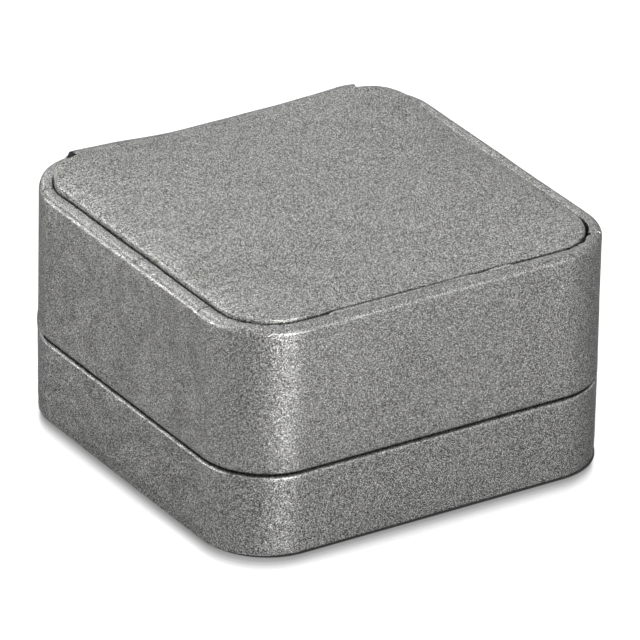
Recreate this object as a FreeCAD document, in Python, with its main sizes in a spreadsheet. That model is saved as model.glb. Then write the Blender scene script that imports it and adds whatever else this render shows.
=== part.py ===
"""A hinged ring box: a shallow base and a deep lid, both moulded shells wrapped in leatherette.

The lid has a recessed top that holds a padded panel. A stamped hinge with a snap spring joins the
two halves at the back, under a leatherette cover. Inside are card liners, a ring pad with two foam
rolls and a slot between them, and a padded ceiling. X runs along the front, +Y points to the back,
+Z up. The origin is the centre of the footprint, on the surface that the box stands on. Millimetres.
"""

import FreeCAD, Part

import os

import Sketcher
from FreeCAD import Placement, Rotation, Vector

# alias, value, what it is
SIZES = [
    ("width", 64.0, "outer width, along the front"),
    ("depth", 62.2, "outer depth, without the hinge cover"),
    ("corner", 10.3, "outer radius of the upright corners"),
    ("parting", 12.8, "height of the parting line and the hinge axis"),
    ("seam", 0.3, "gap between base and lid when shut"),
    ("rim", 34.8, "height of the lid's rim"),
    ("skin", 0.45, "thickness of the leatherette"),
    ("wall", 1.2, "wall thickness of the moulded shells"),
    ("roll_over", 1.1, "radius of the rolled outer edge of the lid's rim"),
    ("soft_edge", 0.7, "radius of the rolled edges at the parting line"),
    ("foot_edge", 0.9, "radius of the wrap's lower edge"),
    ("board", 0.5, "thickness of the board under the base"),
    ("board_inset", 1.4, "distance from the outer face to the board"),
    ("turn_in", 4.5, "how far the leatherette is turned in"),
    ("plate_top", 31.4, "height of the recess floor in the lid"),
    ("plate", 1.0, "thickness of the recess floor"),
    ("liner_inset", 2.6, "distance from the outer face to the liners"),
    ("liner", 0.8, "thickness of the card liners"),
    ("card", 0.8, "thickness of the hidden cards"),
    ("panel_inset", 2.35, "distance from the outer face to the padded panel"),
    ("panel_back", 0.4, "extra room behind the panel for the hinge cover"),
    ("panel_card", 1.0, "thickness of the padded panel's card"),
    ("panel_top", 37.3, "height of the crown of the padded panel"),
    ("panel_dome", 262.0, "radius of the panel's crown"),
    ("panel_edge", 1.1, "radius of the panel's soft edge"),
    ("ceiling_inset", 3.7, "distance from the outer face to the ceiling pad"),
    ("ceiling_foam", 1.0, "thickness of the ceiling's foam"),
    ("cloth", 0.4, "thickness of the ceiling cloth"),
    ("suede", 0.5, "thickness of the ring pad's cover"),
    ("pad_inset", 3.7, "distance from the outer face to the ring pad"),
    ("pad_back", 26.6, "rear face of the ring pad"),
    ("pad_top", 11.6, "height of the ring pad"),
    ("slot", 4.6, "width of the ring slot"),
    ("roll_edge", 4.0, "radius of the foam rolls' upper edges"),
    ("pad_corner", 6.4, "corner radius of the ring pad"),
    ("axis_out", 0.25, "how far the hinge axis lies outside the back face"),
    ("barrel", 1.0, "outer radius of the hinge knuckles"),
    ("sheet", 0.45, "thickness of the hinge's sheet steel"),
    ("pin_radius", 0.5, "radius of the hinge pin"),
    ("pin_play", 0.05, "radial play of the pin"),
    ("hinge_width", 31.0, "length of the hinge"),
    ("pin_head", 0.3, "thickness of the pin's flat heads"),
    ("knuckle_gap", 0.15, "gap between neighbouring knuckles"),
    ("hinge_room", 0.15, "gap between the hinge and what is cut away for it"),
    ("leaf_height", 8.75, "height of a hinge leaf"),
    ("rivet_x", 9.0, "distance of a rivet from the middle"),
    ("rivet_z", 5.8, "distance of a rivet from the parting line"),
    ("rivet_radius", 0.8, "radius of a rivet's shank"),
    ("rivet_head", 1.5, "radius of a rivet's head"),
    ("head_height", 0.35, "height of a rivet's head"),
    ("spring_width", 7.0, "width of the snap spring"),
    ("spring_sheet", 0.3, "thickness of the snap spring"),
    ("spring_bow", 7.3, "radius of the snap spring's bow"),
    ("spring_reach", 4.5, "height of the spring's ends above and below the axis"),
    ("spring_depth", 4.5, "distance of the spring's crown inside the axis"),
    ("spring_curl", 0.35, "radius of the spring's curled ends"),
    ("spring_window", 11.0, "width of the liners' window for the spring"),
    ("cover", 0.4, "thickness of the hinge cover"),
    ("cover_turn", 26.3, "how far forward the hinge cover goes round the corners"),
    ("cover_tab", 48.0, "width of the hinge cover's tab over the rim"),
    ("cover_shift", 1.6, "how far the tab lies off the middle"),
    ("cover_bulge", 43.0, "length of the cover's bulge, and the distance between its two slits"),
]
KNUCKLES = 5
SHEET = "Sizes"


def size(name):
    return f"{SHEET}.{name}"


def make_sheet(doc):
    sheet = doc.addObject("Spreadsheet::Sheet", SHEET)
    for row, (alias, value, note) in enumerate(SIZES, start=1):
        sheet.set(f"A{row}", note)
        sheet.set(f"B{row}", str(value))
        sheet.setAlias(f"B{row}", alias)
    doc.recompute()
    return sheet


def value(doc, expression):
    """The number that an expression on the sheet has now."""
    found = doc.getObject(SHEET).evalExpression(str(expression))
    return float(getattr(found, "Value", found))


def origin_plane(body, role):
    return next(p for p in body.Origin.OriginFeatures if p.Role == role)


def bind(item, **expressions):
    """Binds properties to expressions on the sheet. A double underscore stands for a dot."""
    for name, expression in expressions.items():
        item.setExpression(name.replace("__", "."), str(expression))
    return item


def body_named(doc, name):
    body = doc.addObject("PartDesign::Body", name)
    body.Label = name
    return body


def rounded_loop(sketch, tag, left, right, front, back, radii):
    """A rounded rectangle between four expressions. Its radii start front left and go anticlockwise."""
    doc = sketch.Document
    x0, x1, y0, y1 = (value(doc, e) for e in (left, right, front, back))
    r = [value(doc, e) for e in radii]
    centres = [
        (x0 + r[0], y0 + r[0]),
        (x1 - r[1], y0 + r[1]),
        (x1 - r[2], y1 - r[2]),
        (x0 + r[3], y1 - r[3]),
    ]
    ends = [
        ((x0 + r[0], y0), (x1 - r[1], y0)),
        ((x1, y0 + r[1]), (x1, y1 - r[2])),
        ((x1 - r[2], y1), (x0 + r[3], y1)),
        ((x0, y1 - r[3]), (x0, y0 + r[0])),
    ]
    start_angles = (180, 270, 0, 90)
    lines = [
        sketch.addGeometry(Part.LineSegment(Vector(*a, 0), Vector(*b, 0))) for a, b in ends
    ]
    arcs = []
    for centre, radius, angle in zip(centres, r, start_angles):
        circle = Part.Circle(Vector(*centre, 0), Vector(0, 0, 1), radius)
        turn = FreeCAD.Units.Quantity(f"{angle} deg").getValueAs("rad").Value
        quarter = FreeCAD.Units.Quantity("90 deg").getValueAs("rad").Value
        arcs.append(sketch.addGeometry(Part.ArcOfCircle(circle, turn, turn + quarter)))
    for k in range(4):
        sketch.addConstraint(Sketcher.Constraint("Tangent", arcs[k], 2, lines[k], 1))
        sketch.addConstraint(Sketcher.Constraint("Tangent", lines[k], 2, arcs[(k + 1) % 4], 1))
    for k in (0, 2):
        sketch.addConstraint(Sketcher.Constraint("Horizontal", lines[k]))
        sketch.addConstraint(Sketcher.Constraint("Vertical", lines[k + 1]))
    for k, expression in enumerate(radii):
        dimension(sketch, f"{tag}_radius{k}", expression, "Radius", arcs[k], r[k])
    sides = ((lines[3], "DistanceX", left, x0), (lines[1], "DistanceX", right, x1))
    sides += ((lines[0], "DistanceY", front, y0), (lines[2], "DistanceY", back, y1))
    for line, kind, expression, at in sides:
        dimension(sketch, f"{tag}_{kind[-1]}{line}", expression, kind, line, 1, at)


def dimension(sketch, name, expression, *constraint):
    """Adds a driving constraint bound to the sheet. Distances are from the sketch's origin."""
    if constraint[0] != "Radius":
        kind, line, point, at = constraint
        constraint = (kind, -1, 1, line, point, at)
    index = sketch.addConstraint(Sketcher.Constraint(*constraint))
    sketch.renameConstraint(index, name)
    sketch.setExpression(f"Constraints.{name}", str(expression))


def outline(inset):
    """The box's outline moved inwards: left, right, front, back and the four radii."""
    across = f"({size('width')} / 2 - ({inset}))"
    along = f"({size('depth')} / 2 - ({inset}))"
    return (f"-{across}", across, f"-{along}", along, [f"{size('corner')} - ({inset})"] * 4)


def flat_sketch(body, name, loops, height):
    sketch = body.newObject("Sketcher::SketchObject", name)
    sketch.AttachmentSupport = (origin_plane(body, "XY_Plane"), [""])
    sketch.MapMode = "FlatFace"
    sketch.setExpression("AttachmentOffset.Base.z", str(height))
    for k, loop in enumerate(loops):
        rounded_loop(sketch, f"loop{k}", *loop)
    body.Document.recompute()
    return sketch


def pad(body, name, loops, bottom, top):
    """Adds material between two heights inside one loop, or between two loops."""
    sketch = flat_sketch(body, f"{name}_plan", loops, bottom)
    feature = body.newObject("PartDesign::Pad", name)
    feature.Profile = sketch
    feature.setExpression("Length", f"({top}) - ({bottom})")
    sketch.Visibility = False
    body.Document.recompute()
    return feature


def pocket(body, name, loops, bottom, top):
    """Takes material away between two heights, and stops if it cuts nothing."""
    before = body.Shape.Volume
    sketch = flat_sketch(body, f"{name}_plan", loops, top)
    feature = body.newObject("PartDesign::Pocket", name)
    feature.Profile = sketch
    feature.setExpression("Length", f"({top}) - ({bottom})")
    sketch.Visibility = False
    body.Document.recompute()
    if not feature.Shape.Volume < before:
        raise RuntimeError(f"{feature.Name} cuts nothing")
    return feature


def box_loop(half_width, front, back, shift="0"):
    """A sharp-looking rectangle for notches, with hairline corners."""
    hairline = "0.05"
    left, right = f"({shift}) - ({half_width})", f"({shift}) + ({half_width})"
    return (left, right, front, back, [hairline] * 4)


def flat_edges(shape, height, test=None):
    """The names of the edges that lie flat at a height, and whose middle passes the test."""
    near = 1e-4
    names = []
    for number, edge in enumerate(shape.Edges, start=1):
        span = edge.BoundBox
        if abs(span.ZMin - height) < near and abs(span.ZMax - height) < near:
            middle = edge.valueAt((edge.FirstParameter + edge.LastParameter) / 2)
            if test is None or test(middle):
                names.append(f"Edge{number}")
    return names


def round_off(body, name, radius, height, test=None):
    """Rounds the flat edges of a body's tip at a height."""
    doc, tip = body.Document, body.Tip
    edges = flat_edges(tip.Shape, value(doc, height), test)
    if not edges:
        raise RuntimeError(f"{name} finds no edges")
    feature = body.newObject("PartDesign::Fillet", name)
    feature.Base = (tip, edges)
    feature.setExpression("Radius", str(radius))
    doc.recompute()
    return feature


def on_outline(doc, inset):
    """A test for points that lie on the outline at an inset."""
    half_x = value(doc, f"{size('width')} / 2 - ({inset})")
    half_y = value(doc, f"{size('depth')} / 2 - ({inset})")
    radius = value(doc, f"{size('corner')} - ({inset})")
    near = 0.02

    def test(point):
        dx = max(abs(point.x) - (half_x - radius), 0)
        dy = max(abs(point.y) - (half_y - radius), 0)
        return abs((dx * dx + dy * dy) ** 0.5 - radius) < near and (dx > 0 or dy > 0)

    return test


def box(doc, name, x, y, z):
    """A Part box between pairs of expressions."""
    item = doc.addObject("Part::Box", name)
    for axis, side, (low, high) in zip("xyz", ("Length", "Width", "Height"), (x, y, z)):
        item.setExpression(side, f"({high}) - ({low})")
        item.setExpression(f"Placement.Base.{axis}", str(low))
    return item


def rod(doc, name, radius, length, x, y, z, along="x"):
    """A Part cylinder that starts at a point and runs along +X or +Y."""
    item = doc.addObject("Part::Cylinder", name)
    turn = Rotation(Vector(0, 1, 0), 90) if along == "x" else Rotation(Vector(1, 0, 0), -90)
    item.Placement = Placement(Vector(0, 0, 0), turn)
    bind(item, Radius=radius, Height=length)
    bind(item, Placement__Base__x=x, Placement__Base__y=y, Placement__Base__z=z)
    return item


def cut(doc, name, base, *tools):
    """Base less the tools, one after the other."""
    for number, tool in enumerate(tools, start=1):
        last = number == len(tools)
        item = doc.addObject("Part::Cut", name if last else f"{name}_cut{number}")
        item.Base, item.Tool = base, tool
        base = item
    doc.recompute()
    return base


def join(doc, name, *shapes):
    item = doc.addObject("Part::MultiFuse", name)
    item.Shapes = list(shapes)
    item.Refine = True
    doc.recompute()
    return item


def overlap(doc, name, *shapes):
    item = doc.addObject("Part::MultiCommon", name)
    item.Shapes = list(shapes)
    doc.recompute()
    return item


def soften(doc, name, base, radius, edges):
    """A Part fillet with its radius fixed from the sheet when the macro runs."""
    item = doc.addObject("Part::Fillet", name)
    item.Base = base
    item.Edges = [(number, radius, radius) for number in edges]
    doc.recompute()
    return item


# Heights and faces that several pieces share, as expressions.
BASE_TOP = f"({size('parting')} - {size('seam')} / 2)"
LID_BOTTOM = f"({size('parting')} + {size('seam')} / 2)"
BASE_SHELL_TOP = f"({BASE_TOP} - {size('skin')})"
BASE_SHELL_BOTTOM = f"({size('board')} + {size('skin')})"
BASE_FLOOR = f"({BASE_SHELL_BOTTOM} + {size('wall')})"
LID_SHELL_BOTTOM = f"({LID_BOTTOM} + {size('skin')})"
LID_SHELL_TOP = f"({size('rim')} - {size('skin')})"
PLATE_BOTTOM = f"({size('plate_top')} - {size('plate')})"
SHELL_INNER = f"({size('skin')} + {size('wall')})"
TURN_IN_INNER = f"({SHELL_INNER} + {size('skin')})"
FLAP_INNER = f"({TURN_IN_INNER} + {size('turn_in')})"
BACK = f"({size('depth')} / 2)"
AXIS_Y = f"({BACK} + {size('axis_out')})"
SHELL_INNER_BACK = f"({BACK} - {SHELL_INNER})"
LEAF_INNER_BACK = f"({SHELL_INNER_BACK} - {size('sheet')})"
NOTCH_HALF = f"({size('hinge_width')} / 2 + {size('pin_head')} + {size('hinge_room')})"
NOTCH_DROP = f"({size('barrel')} + {size('hinge_room')})"
CARD_TOP = f"({BASE_FLOOR} + {size('card')})"
PANEL_BOTTOM = f"({size('plate_top')} + {size('skin')})"
PANEL_CARD_BOTTOM = f"({PANEL_BOTTOM} + {size('skin')})"
PANEL_CARD_TOP = f"({PANEL_CARD_BOTTOM} + {size('panel_card')})"
CEILING_CARD_BOTTOM = f"({PLATE_BOTTOM} - {size('card')})"
CEILING_FOAM_BOTTOM = f"({CEILING_CARD_BOTTOM} - {size('ceiling_foam')})"
CEILING_BOTTOM = f"({CEILING_FOAM_BOTTOM} - {size('cloth')})"


def hinge_notch():
    """The gap in a back wall where the knuckles and the leaves' flanges pass."""
    clear = "1"
    return box_loop(NOTCH_HALF, f"{SHELL_INNER_BACK} - {clear}", f"{BACK} + {clear}")


def rivet_holes(doc, name, shell, height):
    """Cuts the two rivet holes through a shell's back wall."""
    reach = f"({size('wall')} + 1)"
    start = f"({SHELL_INNER_BACK} - 0.5)"
    radius, holes = size("rivet_radius"), []
    for side, sign in (("left", "-"), ("right", "")):
        x = f"{sign}{size('rivet_x')}"
        holes.append(rod(doc, f"{name}_{side}", radius, reach, x, start, height, "y"))
    return cut(doc, name, shell, *holes)


def make_bottom_board(doc):
    body = body_named(doc, "bottom_board")
    pad(body, "board", [outline(size("board_inset"))], "0", size("board"))
    return body


def make_base_shell(doc):
    body = body_named(doc, "base_shell_body")
    pad(body, "shell", [outline(size("skin"))], BASE_SHELL_BOTTOM, BASE_SHELL_TOP)
    pocket(body, "well", [outline(SHELL_INNER)], BASE_FLOOR, BASE_SHELL_TOP)
    test = on_outline(doc, size("skin"))
    round_off(body, "upper_edge", f"{size('soft_edge')} - {size('skin')}", BASE_SHELL_TOP, test)
    round_off(body, "lower_edge", f"{size('foot_edge')} - {size('skin')}", BASE_SHELL_BOTTOM)
    pocket(body, "notch", [hinge_notch()], f"{size('parting')} - {NOTCH_DROP}", size("parting"))
    return body, rivet_holes(doc, "base_shell", body, f"{size('parting')} - {size('rivet_z')}")


def make_base_wrap(doc, shell):
    body = body_named(doc, "base_wrap_body")
    pad(body, "block", [outline("0")], size("board"), BASE_TOP)
    pocket(body, "mouth", [outline(TURN_IN_INNER)], BASE_SHELL_BOTTOM, BASE_TOP)
    pocket(body, "underneath", [outline(FLAP_INNER)], f"{size('board')} - 1", BASE_SHELL_BOTTOM)
    low = f"{BASE_TOP} - {size('turn_in')}"
    ring = [outline(SHELL_INNER), outline(f"{TURN_IN_INNER} + 0.1")]
    pocket(body, "below_turn_in", ring, BASE_SHELL_BOTTOM, low)
    round_off(body, "upper_edge", size("soft_edge"), BASE_TOP, on_outline(doc, "0"))
    round_off(body, "inner_edge", f"{size('skin')} - 0.05", BASE_TOP, on_outline(doc, TURN_IN_INNER))
    round_off(body, "lower_edge", size("foot_edge"), size("board"), on_outline(doc, "0"))
    pocket(body, "notch", [hinge_notch()], f"{size('parting')} - {NOTCH_DROP}", size("parting"))
    leaf = box_loop(f"{NOTCH_HALF} + 0.3", f"{SHELL_INNER_BACK} - 1", f"{SHELL_INNER_BACK} + 0.1")
    pocket(body, "leaf_room", [leaf], f"{low} - 0.5", size("parting"))
    return cut(doc, "base_wrap", body, shell)


def make_lid_shell(doc):
    body = body_named(doc, "lid_shell_body")
    pad(body, "shell", [outline(size("skin"))], LID_SHELL_BOTTOM, LID_SHELL_TOP)
    pocket(body, "inside", [outline(SHELL_INNER)], LID_SHELL_BOTTOM, PLATE_BOTTOM)
    pocket(body, "recess", [outline(SHELL_INNER)], size("plate_top"), LID_SHELL_TOP)
    test = on_outline(doc, size("skin"))
    round_off(body, "rim_edge", f"{size('roll_over')} - {size('skin')}", LID_SHELL_TOP, test)
    round_off(body, "lower_edge", f"{size('soft_edge')} - {size('skin')}", LID_SHELL_BOTTOM, test)
    pocket(body, "notch", [hinge_notch()], size("parting"), f"{size('parting')} + {NOTCH_DROP}")
    return body, rivet_holes(doc, "lid_shell", body, f"{size('parting')} + {size('rivet_z')}")


def make_lid_wrap(doc, shell):
    body = body_named(doc, "lid_wrap_body")
    pad(body, "block", [outline("0")], LID_BOTTOM, size("rim"))
    high = f"({LID_BOTTOM} + {size('turn_in')})"
    pocket(body, "mouth", [outline(TURN_IN_INNER)], LID_BOTTOM, high)
    pocket(body, "above_turn_in", [outline(SHELL_INNER)], high, PLATE_BOTTOM)
    pocket(body, "recess", [outline(TURN_IN_INNER)], PANEL_BOTTOM, size("rim"))
    pocket(body, "middle", [outline(FLAP_INNER)], PLATE_BOTTOM, PANEL_BOTTOM)
    round_off(body, "rim_edge", size("roll_over"), size("rim"), on_outline(doc, "0"))
    round_off(body, "rim_inner", f"{size('skin')} - 0.05", size("rim"), on_outline(doc, TURN_IN_INNER))
    round_off(body, "lower_edge", size("soft_edge"), LID_BOTTOM, on_outline(doc, "0"))
    pocket(body, "notch", [hinge_notch()], size("parting"), f"{size('parting')} + {NOTCH_DROP}")
    leaf = box_loop(f"{NOTCH_HALF} + 0.3", f"{SHELL_INNER_BACK} - 1", f"{SHELL_INNER_BACK} + 0.1")
    pocket(body, "leaf_room", [leaf], size("parting"), f"{high} + 0.5")
    return cut(doc, "lid_wrap", body, shell)


def make_liner(doc, name, bottom, top, window_bottom, window_top):
    """A card strip round the inside of a half, with a window at the back for the spring."""
    body = body_named(doc, name)
    inner = f"({size('liner_inset')} + {size('liner')})"
    pad(body, "strip", [outline(size("liner_inset")), outline(inner)], bottom, top)
    window = box_loop(f"{size('spring_window')} / 2", f"{BACK} - {inner} - 1", BACK)
    pocket(body, "window", [window], window_bottom, window_top)
    return body


def pad_loops(grow):
    """The plans of the front and rear rolls, grown outwards by an expression."""
    across = f"({size('width')} / 2 - {size('pad_inset')} - {size('suede')} + ({grow}))"
    front = f"-({size('depth')} / 2 - {size('pad_inset')} - {size('suede')} + ({grow}))"
    back = f"({size('pad_back')} - {size('suede')} + ({grow}))"
    half_slot = f"({size('slot')} / 2 + {size('suede')} - ({grow}))"
    middle = f"(({front} + {back}) / 2)"
    outer = f"({size('pad_corner')} - {size('suede')} + ({grow}))"
    inner = f"({size('roll_edge')} + 0.3 + ({grow}))"
    near = (f"-{across}", across, front, f"{middle} - {half_slot}", [outer, outer, inner, inner])
    far = (f"-{across}", across, f"{middle} + {half_slot}", back, [inner, inner, outer, outer])
    return near, far


def make_roll(doc, name, loop, top, radius):
    """One roll of the ring pad: an upright block with a soft upper edge."""
    body = body_named(doc, name)
    pad(body, "block", [loop], CARD_TOP, top)
    round_off(body, "crown", radius, top)
    return body


def make_insert_card(doc):
    body = body_named(doc, "insert_card")
    left, right, front, back, radii = outline(size("pad_inset"))
    pad(body, "card", [(left, right, front, size("pad_back"), radii)], BASE_FLOOR, CARD_TOP)
    return body


def make_ring_pad_cover(doc, rolls):
    """One sheet over both rolls, tucked into the slot."""
    near, far = pad_loops(size("suede"))
    outer = [
        make_roll(doc, f"cover_{side}", loop, size("pad_top"), f"{size('roll_edge')} + {size('suede')} / 2")
        for side, loop in (("front", near), ("rear", far))
    ]
    tuck = body_named(doc, "cover_tuck")
    half = f"({size('width')} / 2 - {size('pad_inset')} - {size('pad_corner')})"
    strip = box_loop(half, f"{near[3]} - 0.1", f"{far[2]} + 0.1")
    pad(tuck, "strip", [strip], CARD_TOP, f"{CARD_TOP} + {size('suede')}")
    whole = join(doc, "cover_whole", *outer, tuck)
    return cut(doc, "ring_pad_cover", whole, *rolls)


def make_dome(doc, name, inset, bottom, top, radius, edge):
    """An upright block whose top is part of a large sphere, with a soft edge."""
    body = body_named(doc, f"{name}_block")
    left, right, front, back, radii = outline(inset)
    plan = (left, right, front, f"{back} - {size('panel_back')}", radii)
    pad(body, "block", [plan], bottom, f"{size('panel_top')} + 1")
    ball = doc.addObject("Part::Sphere", f"{name}_ball")
    bind(ball, Radius=radius, Placement__Base__z=f"({top}) - ({radius})")
    dome = overlap(doc, f"{name}_dome", body, ball)
    floor = value(doc, bottom)
    edges = []
    for number, item in enumerate(dome.Shape.Edges, start=1):
        ends = [v.Point.z for v in item.Vertexes]
        if min(ends) > floor + 0.5:
            edges.append(number)
    return soften(doc, name, dome, value(doc, edge), edges)


def make_panel(doc):
    """The padded panel: card, foam and a leatherette cover turned under the card."""
    inner = f"({size('panel_inset')} + {size('skin')})"
    left, right, front, back, radii = outline(inner)
    card = body_named(doc, "panel_card")
    plan = (left, right, front, f"{back} - {size('panel_back')}", radii)
    pad(card, "card", [plan], PANEL_CARD_BOTTOM, PANEL_CARD_TOP)
    foam = make_dome(
        doc,
        "panel_foam",
        inner,
        PANEL_CARD_TOP,
        f"{size('panel_top')} - {size('skin')}",
        f"{size('panel_dome')} - {size('skin')}",
        f"{size('panel_edge')} - {size('skin')}",
    )
    whole = make_dome(
        doc,
        "cover_dome",
        size("panel_inset"),
        PANEL_BOTTOM,
        size("panel_top"),
        size("panel_dome"),
        size("panel_edge"),
    )
    under = body_named(doc, "cover_underneath")
    pad(under, "gap", [outline(f"{FLAP_INNER} + 1")], f"{PANEL_BOTTOM} - 1", f"{PANEL_CARD_BOTTOM} + 0.1")
    cover = cut(doc, "panel_cover", whole, card, foam, under)
    return [card, foam, cover]


def make_ceiling(doc):
    """The padded ceiling of the lid: card, foam and a cloth turned over the card's edge."""
    inner = f"({size('ceiling_inset')} + {size('cloth')})"
    card = body_named(doc, "ceiling_card")
    pad(card, "card", [outline(inner)], CEILING_CARD_BOTTOM, PLATE_BOTTOM)
    foam = body_named(doc, "ceiling_foam")
    pad(foam, "foam", [outline(inner)], CEILING_FOAM_BOTTOM, CEILING_CARD_BOTTOM)
    round_off(foam, "soft_edge", f"{size('ceiling_foam')} * 0.8", CEILING_FOAM_BOTTOM)
    block = body_named(doc, "ceiling_cover_block")
    pad(block, "block", [outline(size("ceiling_inset"))], CEILING_BOTTOM, PLATE_BOTTOM)
    round_off(block, "soft_edge", f"{size('ceiling_foam')} * 0.8 + {size('cloth')}", CEILING_BOTTOM)
    cover = cut(doc, "ceiling_cover", block, card, foam)
    return [card, foam, cover]


def knuckle_spans(doc, of_base):
    """The start and end of each knuckle of one leaf, as expressions along X."""
    pitch = f"({size('hinge_width')} / {KNUCKLES})"
    spans = []
    for number in range(KNUCKLES):
        if (number % 2 == 0) == of_base:
            low = f"(-{size('hinge_width')} / 2 + {number} * {pitch})"
            spans.append((low, f"({low} + {pitch})"))
    return spans


def make_leaf(doc, name, of_base):
    """A hinge leaf: a plate on the inside of the back wall, a flange and rolled knuckles."""
    half = f"({size('hinge_width')} / 2)"
    sign = "-" if of_base else "+"
    parting = size("parting")
    far, near = (size("barrel"), f"({size('barrel')} - {size('sheet')})")
    levels = [f"({parting} {sign} {d})" for d in (far, near)]
    low, high = levels if of_base else levels[::-1]
    tip = f"({parting} {sign} {near} {sign} {size('leaf_height')})"
    plate_z = (tip, high) if of_base else (low, tip)
    plate = box(doc, f"{name}_plate", (f"-{half}", half), (LEAF_INNER_BACK, SHELL_INNER_BACK), plate_z)
    flange = box(doc, f"{name}_flange", (f"-{half}", half), (LEAF_INNER_BACK, AXIS_Y), (low, high))
    pieces, gaps = [plate, flange], []
    for number, (start, end) in enumerate(knuckle_spans(doc, of_base)):
        length = f"({end}) - ({start})"
        pieces.append(rod(doc, f"{name}_knuckle{number}", size("barrel"), length, start, AXIS_Y, parting))
    for number, (start, end) in enumerate(knuckle_spans(doc, not of_base)):
        gap = size("knuckle_gap")
        y = (f"{AXIS_Y} - {size('barrel')} - 2 * {gap}", f"{AXIS_Y} + 2 * {size('barrel')}")
        z = (f"{parting} - 2 * {size('barrel')}", f"{parting} + 2 * {size('barrel')}")
        gaps.append(box(doc, f"{name}_gap{number}", (f"{start} - {gap}", f"{end} + {gap}"), y, z))
    bore = f"({size('pin_radius')} + {size('pin_play')})"
    gaps.append(rod(doc, f"{name}_bore", bore, f"2 * {half} + 2", f"-{half} - 1", AXIS_Y, parting))
    height = f"{parting} {sign} {size('rivet_z')}"
    for side, mark in (("left", "-"), ("right", "")):
        x, start = f"{mark}{size('rivet_x')}", f"{LEAF_INNER_BACK} - 1"
        gaps.append(rod(doc, f"{name}_{side}", size("rivet_radius"), "3", x, start, height, "y"))
    whole = join(doc, f"{name}_whole", *pieces)
    return cut(doc, name, whole, *gaps)


def make_pin(doc):
    """The hinge pin, with a flat head at each end."""
    head, half = size("pin_head"), f"({size('hinge_width')} / 2)"
    radius, axis = size("pin_radius"), (AXIS_Y, size("parting"))
    shank = rod(doc, "pin_shank", radius, f"2 * {half}", f"-{half}", *axis)
    room = "0.02"
    left = rod(doc, "pin_head_left", f"{radius} + 0.25", head, f"-{half} - {head} - {room}", *axis)
    right = rod(doc, "pin_head_right", f"{radius} + 0.25", head, f"{half} + {room}", *axis)
    necks = [
        rod(doc, f"pin_neck_{side}", radius, "0.1", x, *axis)
        for side, x in (("left", f"-{half} - 0.1"), ("right", half))
    ]
    return join(doc, "hinge_pin", shank, left, right, *necks)


def make_rivets(doc, name, sign):
    """Two rivets that hold a leaf to its shell's back wall."""
    height = f"{size('parting')} {sign} {size('rivet_z')}"
    shank = (size("rivet_radius"), f"{size('sheet')} + {size('wall')}")
    head = (size("rivet_head"), size("head_height"))
    start = f"{LEAF_INNER_BACK} - {size('head_height')}"
    pieces = []
    for side, mark in (("left", "-"), ("right", "")):
        x = f"{mark}{size('rivet_x')}"
        pieces.append(rod(doc, f"{name}_shank_{side}", *shank, x, LEAF_INNER_BACK, height, "y"))
        pieces.append(rod(doc, f"{name}_head_{side}", *head, x, start, height, "y"))
    return join(doc, name, *pieces)


def make_spring(doc):
    """The bowed strip that snaps the lid shut and holds it open."""
    half, width = f"({size('spring_width')} / 2)", size("spring_width")
    parting, reach = size("parting"), size("spring_reach")
    centre = f"({AXIS_Y} - {size('spring_depth')} + {size('spring_bow')})"
    outer = rod(doc, "bow_outer", size("spring_bow"), width, f"-{half}", centre, parting)
    hollow = f"{size('spring_bow')} - {size('spring_sheet')}"
    inner = rod(doc, "bow_inner", hollow, f"{width} + 2", f"-{half} - 1", centre, parting)
    bow = cut(doc, "bow", outer, inner)
    y, z = (f"{AXIS_Y} - 8", LEAF_INNER_BACK), (f"{parting} - {reach}", f"{parting} + {reach}")
    strip = overlap(doc, "bow_strip", bow, box(doc, "bow_room", (f"-{half}", half), y, z))
    curl = size("spring_curl")
    curl_y = f"{LEAF_INNER_BACK} - {curl} - 0.05"
    ends = [
        rod(doc, f"curl_{place}", curl, width, f"-{half}", curl_y, f"{parting} {sign} {reach}")
        for place, sign in (("low", "-"), ("high", "+"))
    ]
    return join(doc, "snap_spring", strip, *ends)


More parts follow.
